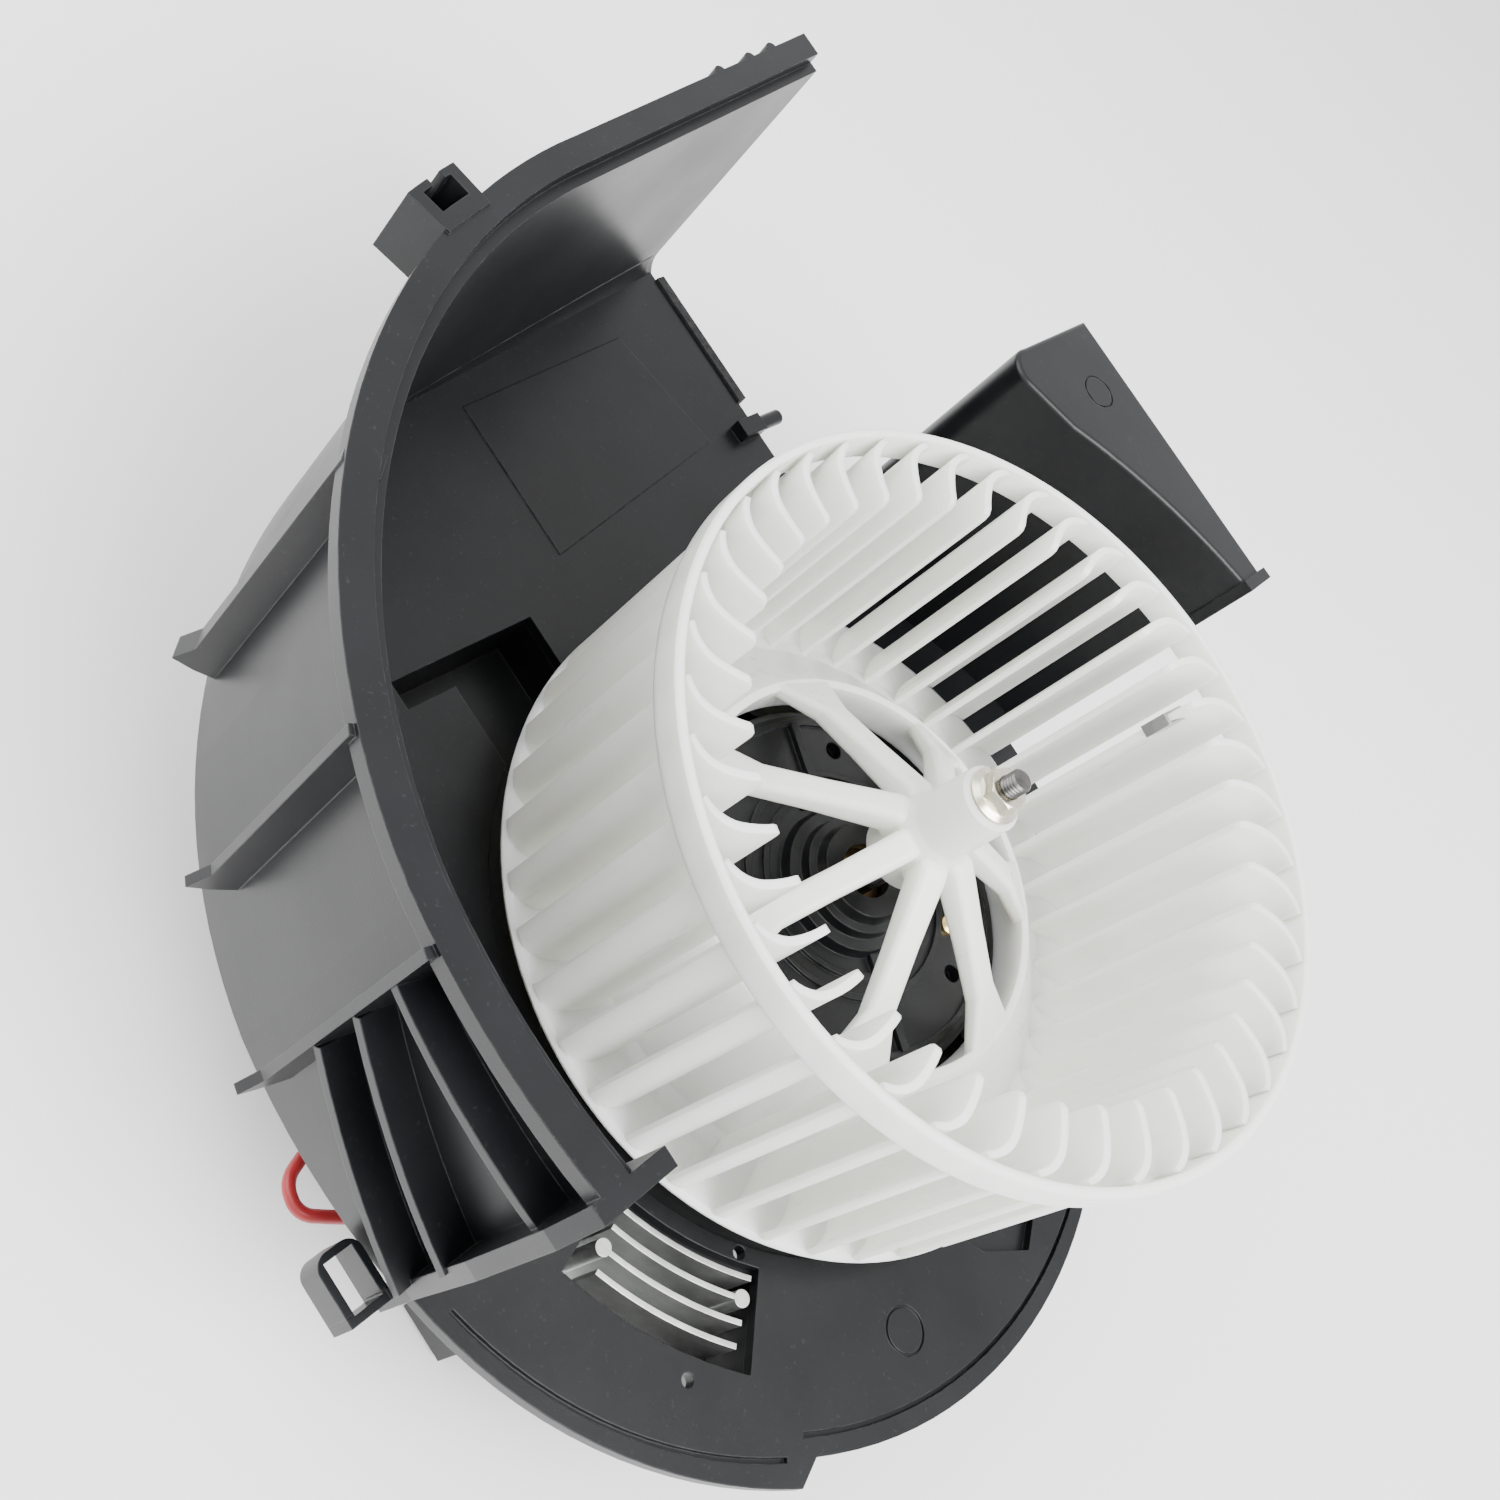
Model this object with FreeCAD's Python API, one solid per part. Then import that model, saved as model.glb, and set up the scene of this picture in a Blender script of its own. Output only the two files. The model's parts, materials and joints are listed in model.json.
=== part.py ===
import FreeCAD, Part
import math
import os

# Car cabin blower: scroll housing half, squirrel-cage wheel on a brushed DC motor, and a
# speed regulator.  Millimetres.  Z runs along the motor shaft, up through the wheel's open
# mouth; z = 0 is the flat back of the motor, and air leaves the scroll along +Y.

# ---- driving dimensions ----
mouthZ = 134.0            # front of the wheel's ring and of the scroll flange
plateTop = 54.0           # face of the base plate that the air runs over
plateThick = 3.0
wallThick = 2.5
flangeWide = 8.5          # flange round the top of the scroll wall
flangeThick = 4.0
scrollStart = 117.5       # scroll radius where the wall starts, straight down -Y
scrollGrow = 0.296        # growth of that radius per degree, clockwise seen from the mouth
scrollEnd = 88.6          # degrees over which the scroll grows before the straight wall
outletY = 83.0            # plane of the air outlet
outletX = -157.5          # inner face of the outlet wall there
wheelR = 77.5             # front ring of the wheel
bladeIn, bladeOut = 61.0, 75.5
bladeLine = ((60.8, 0.0), (65.5, -0.4), (69.4, -1.25), (72.6, -2.9), (74.8, -5.9))   # radius, degrees
bladeHalf = (0.75, 0.8, 0.8, 0.75, 0.6)   # half thickness at those points
wheelHigh = 71.0
bladeCount, spokeCount = 42, 7
ringHigh = 7.6
hubR, hubTop, hubBottom = 6.9, 125.0, 94.0
spokeRound = 1.7
spokeStations = ((4.2, 108.0, 97.0, 3.3), (9.5, 108.0, 100.0, 3.2), (22.0, 99.5, 92.8, 3.0),
                 (33.5, 91.8, 86.0, 3.2), (43.4, 84.0, 79.5, 7.7))   # radius, top, bottom, half width
shaftR, threadR = 4.0, 2.45
nutAcross, nutFlangeR = 8.0, 5.9      # M5 flange nut
runFit = 0.04             # radial clearance of the shaft in its bushes
canR, canWall = 35.0, 1.5
canBottom, canTop = 10.0, 70.0
carrierR, carrierTop = 40.5, 76.0
carrierFlangeR = 57.0
recessR = 72.5            # shallow recess in the plate under the wheel
windowIn, windowOut, windowA, windowB = 76.0, 96.0, -73.5, -47.0
caseIn, caseOut, caseWall = 75.9, 98.8, 1.4   # regulator's radii, clear of the two plate holes
finRadii = (78.2, 82.4, 86.9, 91.4)
finThick = 1.1
caseAngle = -76.0         # end face of the regulator that the leads leave
boardTop, sinkBottom = 25.6, 30.0
pinTop = 12.5             # roof of the plug socket
glandAngle, glandR, glandZ = -118.5, 41.0, 8.5
leadR = 1.3
coreBottom, coreTop = 30.0, 58.0
guideFloor, brushBack = 14.0, 20.0
screwAngles = (30, 150, 270)
spokePhase, bladePhase = -46.4, 4.0
plateBottom = plateTop - plateThick
wheelBottom = mouthZ - wheelHigh

vec = FreeCAD.Vector
up = vec(0, 0, 1)


# ---- helpers ----
def polar(r, deg, z=0.0):
    a = math.radians(deg)
    return vec(r * math.cos(a), r * math.sin(a), z)


def cyl(r, z0, z1, x=0.0, y=0.0):
    return Part.makeCylinder(r, z1 - z0, vec(x, y, z0))


def tube(outer, inner, z0, z1, x=0.0, y=0.0):
    return cyl(outer, z0, z1, x, y).cut(cyl(inner, z0 - 1, z1 + 1, x, y))


def prism(points, z0, z1):
    wire = Part.makePolygon([vec(x, y, z0) for x, y in points + points[:1]])
    return Part.Face(wire).extrude(vec(0, 0, z1 - z0))


def box(x0, x1, y0, y1, z0, z1):
    return Part.makeBox(x1 - x0, y1 - y0, z1 - z0, vec(x0, y0, z0))


def arc(r, a, b, z):
    return Part.Arc(polar(r, a, z), polar(r, (a + b) / 2, z), polar(r, b, z)).toShape()


def line(p, q):
    return Part.LineSegment(p, q).toShape()


def sector(inner, outer, a, b, z0, z1):
    # block between two radii and two angles
    edges = [arc(outer, a, b, z0), line(polar(outer, b, z0), polar(inner, b, z0)),
             arc(inner, b, a, z0), line(polar(inner, a, z0), polar(outer, a, z0))]
    return Part.Face(Part.Wire(edges)).extrude(vec(0, 0, z1 - z0))


def turned(points):
    # solid turned about Z from (radius, z) points
    wire = Part.makePolygon([vec(r, 0, z) for r, z in points + points[:1]])
    return Part.Face(wire).revolve(vec(0, 0, 0), up, 360)


def turn(shape, deg):
    copy = shape.copy()
    copy.rotate(vec(0, 0, 0), up, deg)
    return copy


def fused(shapes):
    first, rest = shapes[0], shapes[1:]
    return first.fuse(rest).removeSplitter() if rest else first


def save(shape, name):
    shape.exportStep("parts/" + name + ".step")
    print(name, "solids", len(shape.Solids), "volume", round(shape.Volume), "valid", shape.isValid())


# ---- scroll housing ----
def scrollR(deg):
    return scrollStart + scrollGrow * deg


def scrollEdges(out, z):
    # the scroll's inner face moved outwards by out: four arcs and the straight outlet wall
    start, steps = -5.0, 4
    width = (scrollEnd - start) / steps
    edges = []
    for i in range(steps):
        a = start + i * width
        p = [polar(scrollR(max(d, 0)) + out, -90 - d, z) for d in (a, a + width / 2, a + width)]
        edges.append(Part.Arc(*p).toShape())
    slope = math.atan2(outletY + 3.6, 157.5 - 143.6)
    edges.append(line(p[2], vec(outletX - out * math.sin(slope), outletY, z)))
    return edges


def scrollBand(inner, outer, z0, z1):
    a, b = scrollEdges(inner, z0), scrollEdges(outer, z0)
    ends = [line(a[0].Vertexes[0].Point, b[0].Vertexes[0].Point),
            line(a[-1].Vertexes[-1].Point, b[-1].Vertexes[-1].Point)]
    wire = Part.Wire(Part.__sortEdges__(a + b + ends))
    return Part.Face(wire).extrude(vec(0, 0, z1 - z0))


def basePlate():
    z = plateBottom
    wall = scrollEdges(wallThick, z)
    first, last = wall[0].Vertexes[0].Point, wall[-1].Vertexes[-1].Point
    back = [last, vec(-77, outletY, z), vec(-77, 111.7, z), vec(-3.5, 111.7, z), polar(97, 92, z)]
    edges = wall + [line(p, q) for p, q in zip(back, back[1:])]
    edges.append(Part.Arc(back[-1], polar(96.5, 55, z), polar(96, 17.6, z)).toShape())
    edges.append(Part.Arc(polar(96, 17.6, z), polar(102.6, -10, z), polar(108.8, -38.4, z)).toShape())
    edges.append(line(polar(108.8, -38.4, z), polar(114.4, -40.2, z)))
    edges.append(Part.Arc(polar(114.4, -40.2, z), polar(117.6, -62, z), first).toShape())
    plate = Part.Face(Part.Wire(Part.__sortEdges__(edges))).extrude(vec(0, 0, plateThick))
    return plate


def rimGroove():
    # groove just inside the plate's free rim, where the other half's edge sits
    parts = []
    for a, b, r0, r1 in ((-40, 16, 105.6, 93.2), (-80, -42, 116.5, 110.2)):
        mid = (r0 + r1) / 2 if a == -40 else 114.2
        z = plateTop - 1.2
        outerArc = Part.Arc(polar(r0, a, z), polar(mid, (a + b) / 2, z), polar(r1, b, z)).toShape()
        half = (a + b) / 2
        innerArc = Part.Arc(polar(r0 - 1, a, z), polar(mid - 1, half, z), polar(r1 - 1, b, z)).toShape()
        ends = [line(polar(r0, a, z), polar(r0 - 1, a, z)), line(polar(r1, b, z), polar(r1 - 1, b, z))]
        wire = Part.Wire(Part.__sortEdges__([outerArc, innerArc] + ends))
        parts.append(Part.Face(wire).extrude(vec(0, 0, 3)))
    return parts


def tongueOutline(z):
    # cut-off of the scroll: straight back, inner side following the wheel, rounded nose
    a, b, c = vec(-76.8, 111.7, z), vec(-3.5, 111.7, z), vec(-3.5, 103.3, z)
    d, e, f = vec(-55.3, 82.2, z), vec(-68.5, 77.6, z), vec(-76.8, 84.5, z)
    return [line(a, b), line(b, c), Part.Arc(c, vec(-31, 95.2, z), d).toShape(),
            line(d, e), Part.Arc(e, vec(-75, 79, z), f).toShape(), line(f, a)]


def tongue():
    outline = Part.Face(Part.Wire(tongueOutline(plateBottom)))
    outer = outline.extrude(vec(0, 0, mouthZ - plateBottom))
    rim = [e for e in outer.Edges if e.BoundBox.ZMin > mouthZ - 0.1]
    outer = outer.makeFillet(1.2, rim)
    inner = outline.makeOffset2D(-2.2)
    hollow = inner.extrude(vec(0, 0, mouthZ - plateBottom - 2.5))
    lip = box(-5.0, -2.2, 102.5, 112.6, 60, mouthZ + 1.0)
    mark = tube(4.4, 3.9, mouthZ - 0.4, mouthZ + 1, -60, 99)
    return outer.fuse(lip).cut(mark), hollow


def uprightRib(deg, thick, z0, reach):
    # rib on the outside of the wall from the flange down, its foot reaching out a little
    r = scrollR(-90 - deg)
    w = thick / 2
    pts = [(r + 1.5, mouthZ - 1), (r + reach, mouthZ - 1), (r + reach, z0 + 6), (r + reach + 2.5, z0),
           (r + reach - 2, z0 - 1), (r + 1.5, z0 - 1)]
    wire = Part.makePolygon([vec(x, -w, z) for x, z in pts + pts[:1]])
    rib = Part.Face(wire).extrude(vec(0, thick, 0))
    rib.rotate(vec(0, 0, 0), up, deg)
    return rib


def slantedRib(zFrom, zTo):
    # shelf between the last upright rib and the end plate, dropping towards the end plate
    a, b = -104.0, -82.5
    space = scrollBand(1.2, flangeWide + 1.0, plateTop, mouthZ - 1)
    space = space.common(sector(100, 145, a, b, plateTop, mouthZ - 1))
    p, q = polar(110, a, zFrom), polar(110, b, zTo)
    along = q.sub(p)
    slab = Part.makeBox(along.Length + 14, 40, 2.0, vec(-7, -20, -1))
    xAxis = vec(along.x, along.y, along.z).normalize()
    yAxis = up.cross(xAxis).normalize()
    zAxis = xAxis.cross(yAxis)
    m = FreeCAD.Matrix(xAxis.x, yAxis.x, zAxis.x, p.x + 3, xAxis.y, yAxis.y, zAxis.y, p.y - 8,
                       xAxis.z, yAxis.z, zAxis.z, p.z, 0, 0, 0, 1)
    slab.transformShape(m)
    return space.common(slab)


def endPlate():
    # plate that closes the start of the scroll wall
    x0, x1 = 10.0, 13.5
    pts = [(-112.0, mouthZ), (-127.5, mouthZ), (-129.0, mouthZ - 12), (-127.5, mouthZ - 40),
           (-123.0, mouthZ - 72), (-122.0, plateBottom - 4), (-112.0, plateBottom - 4)]
    wire = Part.makePolygon([vec(x0, y, z) for y, z in pts + pts[:1]])
    return Part.Face(wire).extrude(vec(x1 - x0, 0, 0))


def latchBox():
    # snap-in socket on the flange's outer edge
    outer = sector(146.0, 156.0, -166.4, -161.2, mouthZ - 15, mouthZ + 0.6)
    inner = sector(149.6, 154.4, -165.4, -162.2, mouthZ - 13, mouthZ + 4)
    mouth = sector(151.0, 157.0, -164.8, -163.4, mouthZ - 6, mouthZ + 4)
    return outer, inner.fuse(mouth)


def wireLoop():
    # hooked loop at the foot of the end plate that holds the leads
    outer = box(-1.2, 12, -131.2, -122.0, plateBottom - 4, plateBottom + 4)
    rounded = [e for e in outer.Edges if e.BoundBox.XMax < -1.1 and e.BoundBox.ZLength > 1]
    inner = box(0.3, 12, -129.6, -123.5, plateBottom - 8, plateBottom + 9)
    return outer.makeFillet(3.0, rounded).cut(inner).fuse(box(10.4, 12, -131.2, -122, 47, 55))


def coolingPocket():
    # duct under the plate that takes pressure air to the motor
    body = prism([(-88, -56), (-56, -56), (-55.6, -41), (-58.4, -12), (-88, -12)],
                 plateBottom - 15, plateBottom)
    hollow = prism([(-86, -14), (-60.4, -14), (-57.6, -41), (-79.5, -41), (-79.5, -54), (-86, -54)],
                   plateBottom - 13, plateTop + 1)
    return body, hollow


def scrollHousing():
    ribs = [uprightRib(-139.5, 5.0, 58, flangeWide), uprightRib(-119, 2.0, 68, flangeWide + 1),
            uprightRib(-104, 2.0, 63, flangeWide + 1.5)]
    shelves = [slantedRib(119, 115), slantedRib(102, 80), slantedRib(86, 62)]
    tongueBody, tongueHollow = tongue()
    latchBody, latchHollow = latchBox()
    pocketBody, pocketHollow = coolingPocket()
    wall = scrollBand(0, wallThick, plateBottom, mouthZ - 3)
    flange = scrollBand(wallThick, flangeWide, mouthZ - flangeThick, mouthZ)
    root = scrollBand(0, wallThick + 0.8, mouthZ - 12, mouthZ - 3.4)
    bumps = [cyl(1.6, mouthZ - flangeThick, mouthZ, x, y)
             for x, y in ((-160.1, 48), (-162.0, 60), (-163.5, 69))]
    peg = Part.makeCylinder(2.0, 9.5, vec(-106, outletY - 1.5, plateTop + 1.2), vec(0, 1, 0))
    pegFoot = box(-108.4, -103.6, outletY - 8, outletY, plateTop - 1, plateTop + 3.6)
    ledge = prism([(-141, 59), (-107, 65.5), (-96, 3), (-137, 3)], plateTop - 0.5, plateTop + 0.3)
    body = basePlate().fuse([wall, flange, root, tongueBody, endPlate(), wireLoop(), latchBody, pocketBody,
                             peg, pegFoot, ledge] + ribs + shelves + bumps)
    cuts = [tongueHollow, latchHollow, pocketHollow, cyl(47, 0, mouthZ),
            cyl(recessR, plateTop - 1.0, plateTop + 3.9),
            sector(windowIn, windowOut, windowA, windowB, plateBottom - 1, plateTop + 1),
            prism([(77, -8), (82.5, -5), (89.6, 6), (84, 15), (77, 16)], plateBottom + 0.8, plateTop + 1),
            cyl(1.4, 0, mouthZ, 46.9, -57.5), cyl(1.4, 0, mouthZ, 57.7, -82.1),
            tube(5.0, 4.4, plateTop - 0.5, plateTop + 1, 81.4, -34)] + rimGroove()
    cuts += [cyl(2.0, plateBottom - 1, plateTop + 3, *polar(52, d)[:2]) for d in screwAngles]
    cuts += [cyl(1.5, plateBottom - 1, plateTop - 0.8, *polar(87, d)[:2]) for d in (-79.5, -41)]
    cuts += [Part.makeCylinder(2.6, 16, vec(-62, -30, plateBottom - 7), vec(1, 0.2, 0))]
    boss = turned([(2, plateTop - 1.2), (5, plateTop - 1.2), (5, plateTop + 4), (0, plateTop + 4),
                   (0, plateTop + 2.9), (2, plateTop + 2.9)])
    return body.cut(cuts).fuse([boss.translated(polar(52, d)) for d in screwAngles]).removeSplitter()


def housingPieces():
    # the moulding divided along its inside corners, so that each piece keeps its own hollow
    body = scrollHousing()
    low, high = plateBottom - 20, mouthZ + 5
    wallSpace = scrollBand(0, 40, low, high).fuse([box(9.9, 14, -140, -111, plateTop, high),
                                                   box(9.9, 14, -140, -117, low, plateTop)])
    spaces = {"lead_loop": box(-3, 10, -136, -121.3, low, plateTop + 8),
              "cooling_duct": box(-90, -45, -60, -10, low, plateBottom),
              "tongue_box": box(-80, 0, 74, 116, plateTop, high),
              "scroll_wall": wallSpace}
    pieces = {}
    for name, space in spaces.items():
        pieces[name] = body.common(space)
        body = body.cut(space)
    pieces["base_plate"] = body
    return pieces


# ---- blower wheel ----
def bladeAt(z0, z1):
    # one forward-curved blade that hooks round to run nearly along the wheel's outside
    middle = [polar(r, a, z0) for r, a in bladeLine]
    sides = []
    for sign in (1, -1):
        pts = []
        for i, (p, half) in enumerate(zip(middle, bladeHalf)):
            along = middle[min(i + 1, 4)].sub(middle[max(i - 1, 0)])
            pts.append(p.add(up.cross(along).normalize() * (sign * half)))
        sides.append([Part.Arc(*pts[:3]).toShape(), Part.Arc(*pts[2:]).toShape(), pts[0], pts[-1]])
    (a, b, p, q), (c, d, r, t) = sides
    wire = Part.Wire(Part.__sortEdges__([a, b, c, d, line(p, r), line(q, t)]))
    return Part.Face(wire).extrude(vec(0, 0, z1 - z0))


def bladeEnvelope():
    # blades end in this turned space: rounded corner at the mouth, sloping dish at the back
    b, m = wheelBottom, mouthZ
    return turned([(bladeIn, b + 2.5), (bladeIn, m - 2.6), (bladeIn + 0.4, m - 1.2), (bladeIn + 1.5, m - 0.5),
                   (wheelR - 1.2, m - 0.5), (wheelR - 1.2, m - 6), (bladeOut, m - 8),
                   (bladeOut - 0.2, b + 4), (73.0, b + 1.5)])


def dish():
    # rim at the back, cone rising inwards and the short upright ring that the spokes end in
    b = wheelBottom
    return turned([(42.5, b + 21), (44.3, b + 21), (45.0, b + 20.2), (60, b + 4.2), (64, b + 2.6),
                   (74, b + 2.6), (75.2, b + 1.8), (74.8, b + 0.6), (73.4, b), (64.5, b),
                   (59.3, b + 1.3), (44.3, b + 17.4), (44.3, b + 11), (42.5, b + 11)])


def frontRing():
    m = mouthZ
    return turned([(wheelR - 1.9, m - 0.3), (wheelR - 1.3, m), (wheelR - 0.6, m), (wheelR, m - 0.6),
                   (wheelR, m - ringHigh), (wheelR - 1.2, m - ringHigh - 0.4), (wheelR - 2.3, m - ringHigh)])


def armSection(r, top, bottom, half):
    # rounded rectangle across the arm, at distance r from the axis
    c = spokeRound
    k = c * (1 - math.sqrt(0.5))
    corners = [(half, top, -1, -1), (-half, top, 1, -1), (-half, bottom, 1, 1), (half, bottom, -1, 1)]
    ends, arcs = [], []
    for i, (y, z, sy, sz) in enumerate(corners):
        p, q = vec(r, y, z + sz * c), vec(r, y + sy * c, z)
        if i % 2:
            p, q = q, p
        arcs.append(Part.Arc(p, vec(r, y + sy * k, z + sz * k), q).toShape())
        ends.append((p, q))
    sides = [line(ends[i][1], ends[(i + 1) % 4][0]) for i in range(4)]
    return Part.Wire([e for pair in zip(arcs, sides) for e in pair])


def spoke():
    # arm from the hub down to the dish's upright ring, wider where it lands
    return Part.makeLoft([armSection(*station) for station in spokeStations], True, True)


def blowerWheel():
    # each of seven like wedges carries six blades and one spoke
    blade = bladeAt(wheelBottom + 1, mouthZ).common(bladeEnvelope())
    pitch = 360 / bladeCount
    blades = [turn(blade, bladePhase + i * pitch) for i in range(bladeCount)]
    spokes = [turn(spoke(), spokePhase + i * 360 / spokeCount) for i in range(spokeCount)]
    hub = turned([(0, hubTop), (hubR - 0.8, hubTop), (hubR, hubTop - 0.9), (hubR + 0.5, mouthZ - 24),
                  (hubR + 1.6, mouthZ - 28), (hubR + 1.2, hubBottom + 0.6), (hubR + 0.6, hubBottom),
                  (0, hubBottom)])
    body = dish().fuse([frontRing(), hub] + spokes + blades)
    return body.cut([cyl(shaftR, hubBottom - 1, 112), cyl(threadR + 0.1, 100, hubTop + 1)])


def balanceClip():
    # small spring clip pushed on to one blade's inner edge
    spot = bladePhase + 9 * 360 / bladeCount
    outer = sector(bladeIn - 0.9, bladeIn + 6.0, -1.35, 1.3, mouthZ - 15, mouthZ - 8)
    gap = bladeAt(mouthZ - 20, mouthZ - 4)
    inner = sector(bladeIn + 0.3, bladeIn + 7.0, -0.98, 0.72, mouthZ - 20, mouthZ - 4)
    return turn(outer.cut([inner, gap]), spot)


# ---- shaft end ----
def motorShaft():
    profile = [(0, 3.2), (shaftR - 0.4, 3.2), (shaftR, 3.6), (shaftR, 112), (threadR, 112)]
    z, pitch = 113.0, 0.8
    while z < mouthZ - 1.6:
        profile += [(threadR - 0.4, z + pitch / 2), (threadR, z + pitch)]
        z += pitch
    profile += [(threadR - 0.5, mouthZ - 0.5), (0, mouthZ - 0.5)]
    return turned(profile)


def hubNut():
    flange = turned([(2.5, hubTop), (nutFlangeR, hubTop), (nutFlangeR, hubTop + 0.6),
                     (4.6, hubTop + 1.5), (2.5, hubTop + 1.5)])
    corners = [tuple(polar(nutAcross / math.sqrt(3), 12 + 60 * i))[:2] for i in range(6)]
    hexagon = prism(corners, hubTop + 0.8, hubTop + 4.7)
    cone = turned([(0, hubTop), (5.2, hubTop), (5.2, hubTop + 3.9), (4.0, hubTop + 4.7), (0, hubTop + 4.7)])
    return flange.fuse(hexagon.common(cone)).cut(cyl(2.5, hubTop - 1, hubTop + 6)).removeSplitter()


# ---- motor ----
def motorCarrier():
    # black dome that holds the motor and fills the plate's opening
    t = carrierTop
    shell = turned([(11.2, t - 3), (38.0, t - 3), (38.0, plateBottom - 3), (carrierFlangeR, plateBottom - 3),
                    (carrierFlangeR, plateBottom), (carrierR, plateBottom), (carrierR, t - 1.5),
                    (carrierR - 1.5, t), (16.4, t), (15.6, t + 2.4), (13.2, t + 2.8), (12.8, t + 5.2),
                    (11.0, t + 5.6), (10.2, t + 8), (6.0, t + 8), (6.0, t + 5.5), (11.2, t + 5.5)])
    ridge = [tube(r + 0.7, r - 0.7, t - 0.5, t + 0.8) for r in (20.5, 25.0, 37.2)]
    webs = [turn(box(16, 37, -1, 1, t - 0.5, t + 1.6), 90 * i + 70) for i in range(4)]
    vents = [cyl(2.0, t - 4, t + 3, *polar(31.5, 22 + 60 * i)[:2]) for i in range(6)]
    vents += [cyl(1.6, t - 4, t + 3, *polar(19.2, 83 + 90 * i)[:2]) for i in range(4)]
    rivets = [cyl(1.5, t - 4, t + 3, *polar(r, d)[:2]) for r in (28.0, 34.0) for d in (42, 222)]
    holes = [cyl(2.0, plateBottom - 4, plateBottom + 1, *polar(52, d)[:2]) for d in screwAngles]
    return shell.fuse(ridge + webs).cut(vents + rivets + holes)


def brushRivets():
    t = carrierTop
    return Part.makeCompound([cyl(1.5, t - 3, t, *polar(r, d)[:2]).fuse(
        turned([(0, t), (2.3, t), (2.1, t + 0.8), (1.2, t + 1.3), (0, t + 1.4)]).translated(polar(r, d)))
        for r in (28.0, 34.0) for d in (42, 222)])


def motorCan():
    i = canR - canWall
    shell = turned([(i, canBottom), (canR, canBottom), (canR, canTop - 2), (canR - 2, canTop), (10.8, canTop),
                    (10.8, canTop + 9), (8.5, canTop + 9), (8.5, canTop - canWall), (i, canTop - canWall)])
    slots = [cyl(2.5, canTop - 3, canTop + 1, *polar(24, 45 + 90 * k)[:2]) for k in range(4)]
    return shell.cut(slots)


def motorEndCap():
    # plastic back of the motor with the rear bush seat; the unit stands on its flat face
    cap = turned([(0, 0), (33.6, 0), (36, 1.6), (36, canBottom), (8.0, canBottom), (8.0, 3.0), (0, 3.0)])
    rim = tube(36.8, canR + 0.1, canBottom - 2, canBottom + 5)
    vents = [sector(20, 27, 90 * i + 15, 90 * i + 55, -1, canBottom + 1) for i in range(4)]
    gland = box(34, glandR, -7, 7, 3.5, 13.5).cut(cyl(canR + 0.1, canBottom, canBottom + 8))
    return cap.cut(vents).fuse([rim, turn(gland, glandAngle)]).removeSplitter()


def magnets():
    r = canR - canWall
    return Part.makeCompound([sector(r - 5.6, r, a - 62, a + 62, 26, 62) for a in (0, 180)])


def armatureCore():
    core = cyl(26.6, coreBottom, coreTop).cut(cyl(shaftR, 20, 70))
    slot = box(12, 24.4, -2.2, 2.2, 29, 59).fuse(box(24, 28, -0.9, 0.9, 29, 59))
    return core.cut([turn(slot, 30 * i) for i in range(12)])


def armatureWindings():
    ends = [turned([(9, z0), (20, z0), (24, z0 + 2), (24, z1 - 2), (20, z1), (9, z1)])
            for z0, z1 in ((coreTop, 65.5), (23.5, coreBottom))]
    bars = [turn(box(12.6, 24.0, -2.0, 2.0, 29, 59), 30 * i) for i in range(12)]
    return fused(ends + bars)


def commutator():
    body = cyl(11, 12.5, 23.4).cut(cyl(shaftR, 10, 26))
    return body.cut([turn(box(9.6, 12, -0.25, 0.25, 12, 21.5), 30 * i + 15) for i in range(12)])


def brushCard():
    card = tube(33.2, 13.5, canBottom, 12.0)
    guides = []
    for a in (42, 222):
        guide = box(12.4, 30, -4.6, 4.6, 11.8, 21.6).cut(box(12, 29, -3.2, 3.2, guideFloor, 20.2))
        guides.append(turn(guide, a))
    return card.fuse(guides)


def brushes():
    end = cyl(11.06, 10, 25)
    brush = box(10, brushBack, -3.0, 3.0, guideFloor, 20.0)
    return Part.makeCompound([turn(brush, a).cut(end) for a in (42, 222)])


def brushSprings():
    # stacked rings stand for each coil spring's turns, from the brush to the guide's end
    wireR, solids = 0.5, []
    for a in (42, 222):
        for i in range(9):
            ring = Part.makeTorus(2.0, wireR, vec(brushBack + wireR * (2 * i + 1), 0, 17.1), vec(1, 0, 0))
            solids.append(turn(ring, a))
    return Part.makeCompound(solids)


def bush(z0, z1, outer):
    return tube(outer, shaftR + runFit, z0, z1)


def isolators():
    return Part.makeCompound([sector(canR, 38.0, a - 14, a + 14, 52, 68) for a in (90, 210, 330)])


def screw(x, y, head, tip, r, headR):
    shank = cyl(r, head, tip, x, y)
    cap = turned([(0, 0), (headR, 0), (headR, -1.6), (headR - 1.0, -2.6), (0, -2.6)])
    cap = cap.translated(vec(x, y, head))
    slot = [box(-headR * 0.6, headR * 0.6, -0.4, 0.4, -3, -1.6).translated(vec(x, y, head)),
            box(-0.4, 0.4, -headR * 0.6, headR * 0.6, -3, -1.6).translated(vec(x, y, head))]
    return shank.fuse(cap).cut(slot)


def carrierScrews():
    return Part.makeCompound([screw(p.x, p.y, plateBottom - 3, plateTop + 2.5, 1.95, 4.2)
                              for p in (polar(52, d) for d in screwAngles)])


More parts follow.
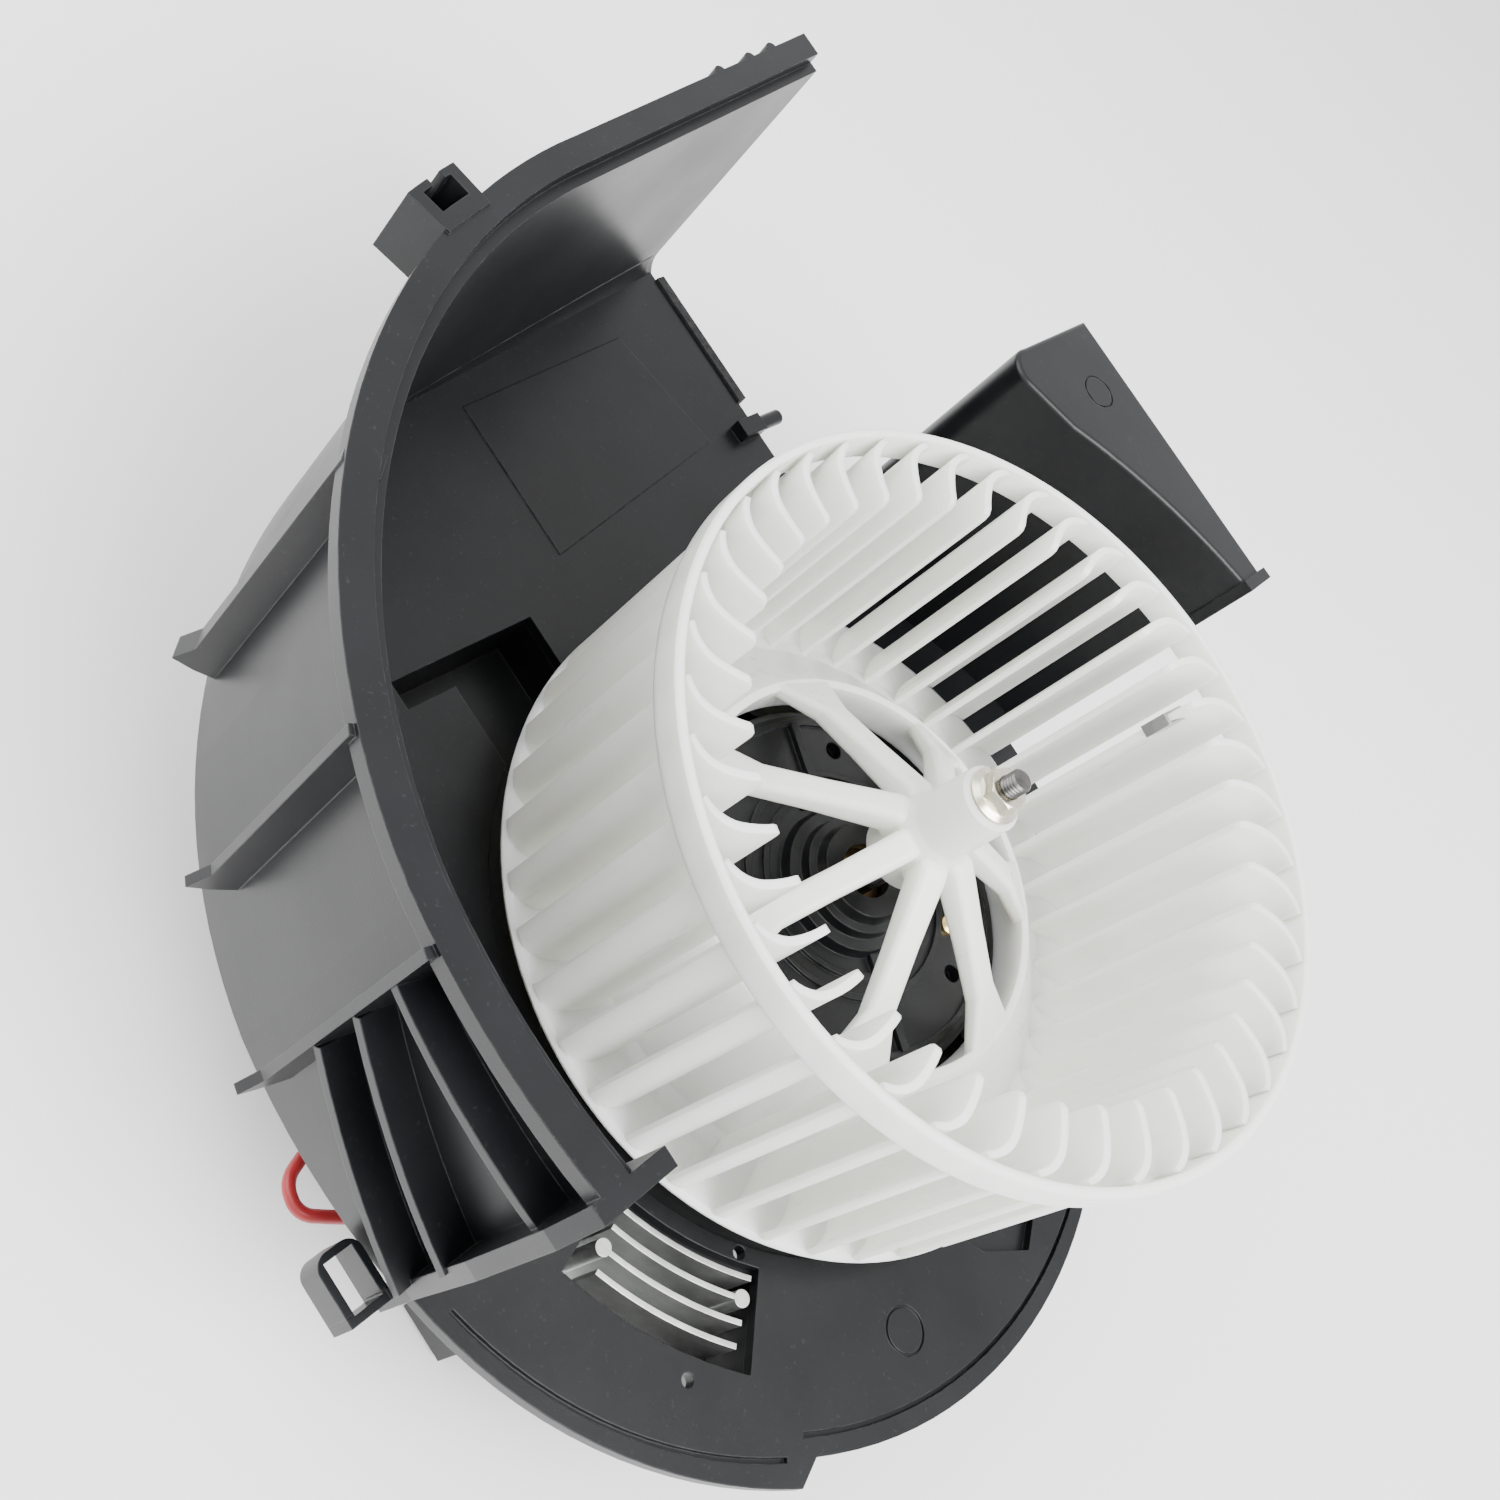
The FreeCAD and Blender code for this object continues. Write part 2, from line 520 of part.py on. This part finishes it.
# ---- speed regulator ----
def regulatorCase():
    flange = sector(caseIn, caseOut, -83, -37.5, plateBottom - 3, plateBottom)
    shell = sector(caseIn, caseOut, caseAngle, -44.5, 14, plateBottom)
    hollow = sector(caseIn + caseWall, caseOut - 1.5, -74.8, -45.8, 16, plateBottom + 1)
    socket = box(20.5, 33.5, -97, -84, 2, 15).cut(box(22.2, 31.8, -95.2, -85.8, 1, pinTop))
    feet = [cyl(1.5, plateBottom - 4, plateBottom + 1, *polar(87, d)[:2]) for d in (-79.5, -41)]
    lugs = [sector(caseIn + 0.6, caseOut - 0.8, a, a + 1.4, boardTop, sinkBottom) for a in (-74.9, -47.1)]
    return shell.fuse([flange, socket] + lugs).cut(hollow.cut(lugs)).cut(feet)


def heatSink():
    base = sector(caseIn + 1.6, caseOut - 1.7, -74.4, -46.2, sinkBottom, 33)
    fins = []
    for i, r in enumerate(finRadii):
        a, b = windowA + 2.2 + 0.5 * i, windowB - 1.0 - 0.4 * i
        fins.append(sector(r - finThick / 2, r + finThick / 2, a, b, 32, plateTop - 0.4))
    pins = [cyl(1.75, 32, plateTop - 0.3, *polar(finRadii[1], windowB - 2.2)[:2]),
            cyl(1.75, 32, plateTop - 0.3, *polar(finRadii[2], windowA + 3.0)[:2])]
    return base.fuse(fins + pins)


def controlBoard():
    board = sector(caseIn + 1.6, caseOut - 1.7, -74.4, -46.2, 24, boardTop)
    chips = [box(38, 50, -80, -72, 25.5, 28.5), box(28, 36, -85, -77, 25.5, 27.5)]
    return board.fuse(chips)


def socketPins():
    return Part.makeCompound([box(x - 0.4, x + 0.4, -92.2, -88.8, 7, pinTop) for x in (24.5, 27.0, 29.5)])


def regulatorScrews():
    return Part.makeCompound([screw(p.x, p.y, plateBottom - 3, plateTop - 1.5, 1.45, 3.2)
                              for p in (polar(87, d) for d in (-79.5, -41))])


# ---- leads ----
def caseExit(r, z):
    # a lead's first run stands square on the regulator's end face
    start = polar(r, caseAngle, z)
    return [start, start.add(polar(10, caseAngle - 90))]


def glandEntry(aside):
    # a lead's last run stands square on the motor's gland
    end = polar(glandR, glandAngle, glandZ).add(polar(aside, glandAngle + 90))
    return [end.add(polar(9, glandAngle)), end]


def redRoute():
    middle = [(4.6, -101.5, 37.6), (-2.4, -113.2, 37), (-8.2, -120.8, 36.4), (-14.4, -119.2, 35.8),
              (-17.2, -111.6, 35), (-18.4, -100.5, 33), (-19.5, -88, 29.5), (-22.5, -75, 24), (-26, -61, 17),
              (-28.8, -50.5, 11)]
    return caseExit(94, 38) + [vec(*p) for p in middle] + glandEntry(-3.5)


def blackRoute():
    middle = [(1.5, -84, 22.5), (-8, -77, 20), (-16, -67.5, 16.5), (-21.5, -56.5, 12)]
    return caseExit(86, 24) + [vec(*p) for p in middle] + glandEntry(3.5)


def lead(route, name):
    # straight runs joined by tangent arcs
    pts = route
    edges, here, radii = [], pts[0], []
    for a, b, c in zip(pts, pts[1:], pts[2:]):
        u, w = b.sub(a), c.sub(b)
        cut = 0.45 * min(u.Length, w.Length)
        half = u.getAngle(w) / 2
        radii.append(round(cut / math.tan(half), 1))
        u.normalize()
        w.normalize()
        s, e = b.sub(u * cut), b.add(w * cut)
        middle = b.add((w.sub(u)).normalize() * (cut / math.tan(half)) * (1 / math.cos(half) - 1))
        edges += [line(here, s), Part.Arc(s, middle, e).toShape()]
        here = e
    edges.append(line(here, pts[-1]))
    path = Part.Wire(edges)
    ring = Part.Wire(Part.Circle(pts[0], pts[1].sub(pts[0]), leadR).toShape())
    solid = path.makePipeShell([ring], True, True)
    print(name, "bend radii", radii, "length", round(path.Length, 1),
          "volume ratio", round(solid.Volume / (math.pi * leadR ** 2 * path.Length), 3))
    return solid


def outletSeal():
    # foam strip stuck on the edge of the outlet floor
    return box(-153, -114, outletY, outletY + 2.6, plateBottom - 1, plateTop + 0.8)


def main():
    os.makedirs("parts", exist_ok=True)
    for name, piece in housingPieces().items():
        save(piece, name)
    save(blowerWheel(), "blower_wheel")
    save(balanceClip(), "balance_clip")
    save(motorShaft(), "motor_shaft")
    save(hubNut(), "hub_nut")
    save(motorCarrier(), "motor_carrier")
    save(brushRivets(), "brush_rivets")
    save(motorCan(), "motor_can")
    save(motorEndCap(), "motor_end_cap")
    save(magnets(), "magnets")
    save(armatureCore(), "armature_core")
    save(armatureWindings(), "armature_windings")
    save(commutator(), "commutator")
    save(brushCard(), "brush_card")
    save(brushes(), "brushes")
    save(brushSprings(), "brush_springs")
    save(bush(canTop - canWall, canTop + 9, 8.5), "front_bush")
    save(bush(3.4, canBottom, 8.0), "rear_bush")
    save(isolators(), "rubber_isolators")
    save(carrierScrews(), "carrier_screws")
    save(regulatorCase(), "regulator_case")
    save(heatSink(), "heat_sink")
    save(controlBoard(), "control_board")
    save(socketPins(), "socket_pins")
    save(regulatorScrews(), "regulator_screws")
    save(lead(redRoute(), "red_lead"), "red_lead")
    save(lead(blackRoute(), "black_lead"), "black_lead")
    save(outletSeal(), "outlet_seal")


main()
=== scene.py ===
import json
import math

import bmesh
import bpy
import numpy as np
from mathutils import Matrix, Vector


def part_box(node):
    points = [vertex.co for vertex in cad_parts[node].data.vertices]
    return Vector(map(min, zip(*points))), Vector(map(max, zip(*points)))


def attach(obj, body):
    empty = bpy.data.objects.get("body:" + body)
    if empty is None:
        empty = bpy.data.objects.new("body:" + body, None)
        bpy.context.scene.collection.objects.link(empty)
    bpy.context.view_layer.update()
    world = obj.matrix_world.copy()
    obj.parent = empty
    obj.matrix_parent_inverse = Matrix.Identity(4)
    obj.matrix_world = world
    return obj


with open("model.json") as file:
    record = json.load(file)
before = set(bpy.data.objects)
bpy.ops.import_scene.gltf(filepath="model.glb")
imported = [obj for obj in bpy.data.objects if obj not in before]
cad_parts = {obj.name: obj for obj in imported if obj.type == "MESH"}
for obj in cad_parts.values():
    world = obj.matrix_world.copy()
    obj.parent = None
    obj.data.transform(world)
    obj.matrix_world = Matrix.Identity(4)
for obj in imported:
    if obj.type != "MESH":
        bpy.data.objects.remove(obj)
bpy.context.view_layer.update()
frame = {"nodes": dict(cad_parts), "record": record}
nodes = frame["nodes"]
print("frame loaded:", len(nodes), "CAD nodes")


def newMaterial(name):
    material = bpy.data.materials.new(name)
    material.use_nodes = True
    tree = material.node_tree
    tree.nodes.clear()
    output = tree.nodes.new("ShaderNodeOutputMaterial")
    shader = tree.nodes.new("ShaderNodeBsdfPrincipled")
    tree.links.new(shader.outputs[0], output.inputs[0])
    coords = tree.nodes.new("ShaderNodeTexCoord")
    return material, tree, shader, coords.outputs["Object"]


def noise(tree, vector, scale, detail=3.0, rough=0.55):
    node = tree.nodes.new("ShaderNodeTexNoise")
    node.inputs["Scale"].default_value = scale
    node.inputs["Detail"].default_value = detail
    node.inputs["Roughness"].default_value = rough
    tree.links.new(vector, node.inputs["Vector"])
    return node.outputs["Fac"]


def stretched(tree, vector, scale):
    node = tree.nodes.new("ShaderNodeMapping")
    node.inputs["Scale"].default_value = scale
    tree.links.new(vector, node.inputs["Vector"])
    return node.outputs[0]


def ranged(tree, value, low, high, fromLow=0.3, fromHigh=0.7):
    node = tree.nodes.new("ShaderNodeMapRange")
    for name, number in (("From Min", fromLow), ("From Max", fromHigh),
                         ("To Min", low), ("To Max", high)):
        node.inputs[name].default_value = number
    tree.links.new(value, node.inputs["Value"])
    return node.outputs[0]


def blended(tree, factor, first, second):
    # colour mix of two colours, or of a socket and a colour
    node = tree.nodes.new("ShaderNodeMix")
    node.data_type = "RGBA"
    tree.links.new(factor, node.inputs["Factor"])
    for socket, value in ((node.inputs["A"], first), (node.inputs["B"], second)):
        if isinstance(value, tuple):
            socket.default_value = (*value, 1.0)
        else:
            tree.links.new(value, socket)
    return node.outputs["Result"]


def bumped(tree, height, strength, distance, normal=None):
    node = tree.nodes.new("ShaderNodeBump")
    node.inputs["Strength"].default_value = strength
    node.inputs["Distance"].default_value = distance
    tree.links.new(height, node.inputs["Height"])
    if normal is not None:
        tree.links.new(normal, node.inputs["Normal"])
    return node.outputs[0]


def softEdge(tree, radius):
    # rounds the way light falls on sharp edges, and marks them for wear
    bevel = tree.nodes.new("ShaderNodeBevel")
    bevel.samples = 6
    bevel.inputs["Radius"].default_value = radius
    geometry = tree.nodes.new("ShaderNodeNewGeometry")
    dot = tree.nodes.new("ShaderNodeVectorMath")
    dot.operation = "DOT_PRODUCT"
    tree.links.new(bevel.outputs[0], dot.inputs[0])
    tree.links.new(geometry.outputs["True Normal"], dot.inputs[1])
    turned, flat = 0.82, 0.995  # cosines between which an edge fades into a face
    return bevel.outputs[0], ranged(tree, dot.outputs["Value"], 1.0, 0.0, turned, flat)


blackPlastic = {
    "base": (0.0040, 0.0044, 0.0054),
    "faded": (0.0085, 0.0090, 0.0105),
    "speck": (0.045, 0.047, 0.050),
    "worn": (0.055, 0.057, 0.061),
    "cloudScale": 34.0,
    "glossScale": 16.0,
    "patchScale": 240.0,
    "speckScale": 900.0,
    "speckAmount": 0.22,
    "wearAmount": 0.75,
    "grainScale": 2600.0,
    "grainStrength": 0.55,
    "grainHeight": 0.00004,
    "rough": (0.27, 0.40),
    "shine": 0.34,
    "edgeRadius": 0.00035,
}


def makeBlackPlastic():
    d = blackPlastic
    material, tree, shader, coords = newMaterial("blackPlastic")
    link = tree.links.new
    cloud = noise(tree, coords, d["cloudScale"], 5.0)
    gloss = noise(tree, coords, d["glossScale"], 4.0)
    grain = noise(tree, coords, d["grainScale"], 2.0)
    normal, edge = softEdge(tree, d["edgeRadius"])
    patchy = noise(tree, coords, d["patchScale"], 4.0, 0.7)
    colour = blended(tree, ranged(tree, cloud, 0.0, 1.0), d["base"], d["faded"])
    dust = noise(tree, coords, d["speckScale"], 2.0)
    speck = ranged(tree, dust, 0.0, d["speckAmount"], 0.66, 0.74)
    colour = blended(tree, speck, colour, d["speck"])
    wear = tree.nodes.new("ShaderNodeMath")
    wear.operation = "MULTIPLY"
    link(edge, wear.inputs[0])
    link(ranged(tree, patchy, 0.0, d["wearAmount"], 0.44, 0.66), wear.inputs[1])
    colour = blended(tree, wear.outputs[0], colour, d["worn"])
    link(colour, shader.inputs["Base Color"])
    link(ranged(tree, gloss, *d["rough"]), shader.inputs["Roughness"])
    shader.inputs["Specular IOR Level"].default_value = d["shine"]
    link(bumped(tree, grain, d["grainStrength"], d["grainHeight"], normal), shader.inputs["Normal"])
    return material


milkyPlastic = {
    "base": (0.905, 0.91, 0.865),
    "deep": (0.86, 0.868, 0.80),
    "streak": (0.93, 0.93, 0.90),
    "streakAmount": 0.35,
    "streakScale": (220.0, 220.0, 26.0),
    "cloudScale": 55.0,
    "scatter": 0.75,
    "scatterScale": 0.006,
    "scatterRadius": (1.0, 0.95, 0.8),
    "refraction": 1.49,
    "rippleScale": 420.0,
    "rippleHeight": 0.00012,
    "rough": (0.26, 0.38),
    "edgeRadius": 0.0004,
}


def makeMilkyPlastic():
    d = milkyPlastic
    material, tree, shader, coords = newMaterial("milkyPlastic")
    link = tree.links.new
    cloud = noise(tree, coords, d["cloudScale"], 4.0)
    flow = noise(tree, stretched(tree, coords, d["streakScale"]), 1.0, 4.0)
    normal = softEdge(tree, d["edgeRadius"])[0]
    colour = blended(tree, ranged(tree, cloud, 0.0, 1.0), d["base"], d["deep"])
    colour = blended(tree, ranged(tree, flow, 0.0, d["streakAmount"]), colour, d["streak"])
    link(colour, shader.inputs["Base Color"])
    link(ranged(tree, flow, *d["rough"]), shader.inputs["Roughness"])
    shader.inputs["Subsurface Weight"].default_value = d["scatter"]
    shader.inputs["Subsurface Radius"].default_value = d["scatterRadius"]
    shader.inputs["Subsurface Scale"].default_value = d["scatterScale"]
    shader.inputs["IOR"].default_value = d["refraction"]
    ripple = noise(tree, coords, d["rippleScale"], 3.0)
    link(bumped(tree, ripple, 0.25, d["rippleHeight"], normal), shader.inputs["Normal"])
    return material


metals = {
    "turnedSteel": {"base": (0.20, 0.195, 0.19), "dull": (0.08, 0.078, 0.075),
                   "rough": (0.22, 0.42), "scale": 900.0},
    "zincSteel": {"base": (0.86, 0.83, 0.72), "dull": (0.66, 0.61, 0.46),
                 "rough": (0.16, 0.32), "scale": 600.0},
    "canSteel": {"base": (0.52, 0.53, 0.54), "dull": (0.36, 0.36, 0.37),
                "rough": (0.26, 0.44), "scale": 260.0},
    "coreSteel": {"base": (0.26, 0.26, 0.27), "dull": (0.12, 0.12, 0.13),
                 "rough": (0.34, 0.52), "scale": 500.0},
    "copperWire": {"base": (0.66, 0.27, 0.12), "dull": (0.42, 0.15, 0.06),
                  "rough": (0.24, 0.4), "scale": 1100.0},
    "brassRivet": {"base": (0.92, 0.76, 0.38), "dull": (0.55, 0.36, 0.12),
                  "rough": (0.2, 0.36), "scale": 800.0},
    "finAluminium": {"base": (0.80, 0.81, 0.80), "dull": (0.58, 0.59, 0.58),
                    "rough": (0.3, 0.46), "scale": 420.0},
    "bushBronze": {"base": (0.46, 0.31, 0.15), "dull": (0.30, 0.19, 0.09),
                  "rough": (0.4, 0.55), "scale": 1500.0},
}
metalSurface = {"edgeRadius": 0.0002, "lineStretch": 9, "lineHeight": 0.00002}


def makeMetal(name):
    d = metals[name]
    material, tree, shader, coords = newMaterial(name)
    link = tree.links.new
    stain = noise(tree, coords, d["scale"] * 0.25, 5.0, 0.62)
    lineScale = (d["scale"], d["scale"], d["scale"] * metalSurface["lineStretch"])
    lines = noise(tree, stretched(tree, coords, lineScale), 1.0, 3.0)
    normal = softEdge(tree, metalSurface["edgeRadius"])[0]
    colour = blended(tree, ranged(tree, stain, 0.0, 1.0, 0.36, 0.68), d["base"], d["dull"])
    link(colour, shader.inputs["Base Color"])
    shader.inputs["Metallic"].default_value = 1.0
    link(ranged(tree, lines, *d["rough"]), shader.inputs["Roughness"])
    link(bumped(tree, lines, 0.3, metalSurface["lineHeight"], normal), shader.inputs["Normal"])
    return material


dullFinishes = {
    "blackRubber": {"base": (0.013, 0.013, 0.014), "other": (0.028, 0.028, 0.03),
                   "rough": (0.6, 0.8), "scale": 900.0, "height": 0.00008},
    "foamStrip": {"base": (0.008, 0.008, 0.009), "other": (0.030, 0.030, 0.032),
                 "rough": (0.85, 1.0), "scale": 1500.0, "height": 0.0005},
    "ferrite": {"base": (0.035, 0.036, 0.040), "other": (0.06, 0.062, 0.066),
               "rough": (0.45, 0.65), "scale": 700.0, "height": 0.00005},
    "carbonBrush": {"base": (0.014, 0.014, 0.015), "other": (0.036, 0.036, 0.038),
                   "rough": (0.4, 0.6), "scale": 1300.0, "height": 0.00006},
    "boardLacquer": {"base": (0.010, 0.075, 0.028), "other": (0.018, 0.115, 0.045),
                    "rough": (0.25, 0.4), "scale": 320.0, "height": 0.00006},
    "redSleeve": {"base": (0.40, 0.028, 0.030), "other": (0.29, 0.018, 0.022),
                 "rough": (0.3, 0.46), "scale": 420.0, "height": 0.00006},
    "blackSleeve": {"base": (0.012, 0.012, 0.014), "other": (0.026, 0.026, 0.028),
                   "rough": (0.3, 0.46), "scale": 420.0, "height": 0.00006},
}


def makeDull(name):
    d = dullFinishes[name]
    material, tree, shader, coords = newMaterial(name)
    link = tree.links.new
    blotch = noise(tree, coords, d["scale"] * 0.3, 5.0, 0.6)
    fine = noise(tree, coords, d["scale"], 3.0, 0.6)
    colour = blended(tree, ranged(tree, blotch, 0.0, 1.0), d["base"], d["other"])
    link(colour, shader.inputs["Base Color"])
    link(ranged(tree, fine, *d["rough"]), shader.inputs["Roughness"])
    link(bumped(tree, fine, 0.5, d["height"]), shader.inputs["Normal"])
    return material


metalOfSlot = {
    "steel": "turnedSteel", "zinc_steel": "zincSteel", "can_steel": "canSteel",
    "core_steel": "coreSteel", "copper": "copperWire", "brass": "brassRivet",
    "aluminium": "finAluminium", "bush_bronze": "bushBronze",
}
dullOfSlot = {
    "rubber": "blackRubber", "foam": "foamStrip", "ferrite": "ferrite", "carbon": "carbonBrush",
    "board": "boardLacquer", "red_sleeve": "redSleeve", "black_sleeve": "blackSleeve",
}
finishes = {"housing_plastic": makeBlackPlastic(), "wheel_plastic": makeMilkyPlastic()}
finishes.update({slotName: makeMetal(name) for slotName, name in metalOfSlot.items()})
finishes.update({slotName: makeDull(name) for slotName, name in dullOfSlot.items()})
slotOf = {row["node"]: row["material_slot"] for row in frame["record"]["subparts"]}
for nodeName, obj in nodes.items():
    obj.data.materials.clear()
    obj.data.materials.append(finishes[slotOf[nodeName]])
print("finishes given to", len(slotOf), "nodes")

ductCorner = {
    "startR": 0.1175, "growth": 0.000296,
    "turns": (52.0, 88.6), "turnSteps": 44,
    "outletPoint": (-0.1575, 0.083), "straightSteps": 30,
    "radius": 0.010, "least": 0.0006, "arcSteps": 12,
    "sink": 0.0004,  # how far its back goes into wall and floor
    "footLift": 0.003,
}


def makeDuctCorner(d):
    # rounded inside corner between floor and wall: a quarter circle, hollow side up, carried
    # along the wall, whose line is a spiral that grows with angle, then straight to the outlet;
    # the quarter circle's radius eases from least to radius along the way
    turnsRound = np.linspace(*d["turns"], d["turnSteps"])
    spiral = d["startR"] + d["growth"] * turnsRound
    angle = np.radians(-90.0 - turnsRound)
    bend = np.stack([spiral * np.cos(angle), spiral * np.sin(angle)], axis=1)
    share = np.linspace(0.0, 1.0, d["straightSteps"] + 1)[1:, None]
    path = np.concatenate([bend, bend[-1] * (1 - share) + np.array(d["outletPoint"]) * share])
    along = np.gradient(path, axis=0)
    along /= np.linalg.norm(along, axis=1, keepdims=True)
    inward = np.stack([along[:, 1], -along[:, 0]], axis=1)
    ease = np.linspace(0.0, 1.0, len(path))
    ease = ease * ease * (3 - 2 * ease)
    radius = d["least"] + (d["radius"] - d["least"]) * ease
    # measured from the end plate's foot, the wall node's lowest point, so its foot is 4 mm under the
    # floor's face and only its upper part shows
    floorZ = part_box("scroll_wall")[0][2] + d["footLift"]
    arc = np.linspace(0.0, math.pi / 2, d["arcSteps"])
    out = radius[:, None] * (1 - np.cos(arc))
    high = radius[:, None] * (1 - np.sin(arc))
    sunk = np.full((len(path), 1), -d["sink"])
    out = np.concatenate([out, radius[:, None], sunk, sunk], axis=1)
    high = np.concatenate([high, sunk, sunk, radius[:, None]], axis=1)
    points = np.empty(out.shape + (3,))
    points[..., :2] = path[:, None] + inward[:, None] * out[..., None]
    points[..., 2] = floorZ + high
    return closedTube("ductCorner", points)


def closedTube(name, points):
    # rings of equal length joined to each other, with a flat face at both ends
    rings, sides = points.shape[:2]
    i, j = np.meshgrid(np.arange(rings - 1), np.arange(sides), indexing="ij")
    k = (j + 1) % sides
    quads = np.stack([i * sides + j, i * sides + k, (i + 1) * sides + k, (i + 1) * sides + j], axis=-1)
    ends = [tuple(range(sides)), tuple(range((rings - 1) * sides, rings * sides))]
    mesh = bpy.data.meshes.new(name)
    mesh.from_pydata(points.reshape(-1, 3).tolist(), [], quads.reshape(-1, 4).tolist() + ends)
    work = bmesh.new()
    work.from_mesh(mesh)
    bmesh.ops.recalc_face_normals(work, faces=work.faces)
    work.to_mesh(mesh)
    work.free()
    mesh.polygons.foreach_set("use_smooth", np.ones(len(mesh.polygons), dtype=bool))
    piece = bpy.data.objects.new(name, mesh)
    bpy.context.scene.collection.objects.link(piece)
    return piece


corner = makeDuctCorner(ductCorner)
corner.data.materials.append(finishes["housing_plastic"])
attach(corner, "housing")
print("rounded duct corner made")

studio = {
    "floorSize": 6.0,
    "floorColour": (0.93, 0.93, 0.93),
    "worldColour": (1.0, 1.0, 1.0),
    "worldStrength": 1.5,
    "keySize": 0.9, "keyPower": 26.0, "keyPlace": (0.55, -0.25, 1.0),
    "fillSize": 1.1, "fillPower": 12.0, "fillPlace": (-0.75, -0.35, 0.75),
    "target": (0.0, 0.0, 0.09),
}


def makeFloor():
    half = studio["floorSize"] / 2
    mesh = bpy.data.meshes.new("floor")
    corners = [(-half, -half, 0.0), (half, -half, 0.0), (half, half, 0.0), (-half, half, 0.0)]
    mesh.from_pydata(corners, [], [(0, 1, 2, 3)])
    floor = bpy.data.objects.new("floor", mesh)
    bpy.context.scene.collection.objects.link(floor)
    material, tree, shader, coords = newMaterial("paleFloor")
    shader.inputs["Base Color"].default_value = (*studio["floorColour"], 1.0)
    tree.links.new(ranged(tree, noise(tree, coords, 40.0), 0.75, 0.9), shader.inputs["Roughness"])
    mesh.materials.append(material)


def addArea(name, size, power, place):
    light = bpy.data.lights.new(name, "AREA")
    light.shape = "DISK"
    light.size = size
    light.energy = power
    lamp = bpy.data.objects.new(name, light)
    bpy.context.scene.collection.objects.link(lamp)
    aim = Vector(studio["target"]) - Vector(place)
    lamp.matrix_world = Matrix.Translation(place) @ aim.to_track_quat("-Z", "Y").to_matrix().to_4x4()


cameraView = {
    "place": (-0.0222, -0.2608, 0.3566),
    "right": (0.5521, 0.6213, 0.5560),
    "up": (-0.8293, 0.3397, 0.4437),
    "back": (0.0868, -0.7061, 0.7028),
    "lens": 42.85, "shiftX": -0.0056, "shiftY": -0.0813,
}


def makeCamera():
    d = cameraView
    data = bpy.data.cameras.new("studioCamera")
    data.sensor_width = 36.0
    data.lens = d["lens"]
    data.shift_x = d["shiftX"]
    data.shift_y = d["shiftY"]
    data.clip_start = 0.005
    camera = bpy.data.objects.new("studioCamera", data)
    bpy.context.scene.collection.objects.link(camera)
    turn = Matrix((d["right"], d["up"], d["back"])).transposed()
    camera.matrix_world = Matrix.Translation(d["place"]) @ turn.to_quaternion().to_matrix().to_4x4()
    bpy.context.scene.camera = camera


world = bpy.data.worlds.new("studioWorld")
world.use_nodes = True
world.node_tree.nodes["Background"].inputs[0].default_value = (*studio["worldColour"], 1.0)
world.node_tree.nodes["Background"].inputs[1].default_value = studio["worldStrength"]
bpy.context.scene.world = world
makeFloor()
addArea("keyLight", studio["keySize"], studio["keyPower"], studio["keyPlace"])
addArea("fillLight", studio["fillSize"], studio["fillPower"], studio["fillPlace"])
makeCamera()
print("floor, lights and camera in place")
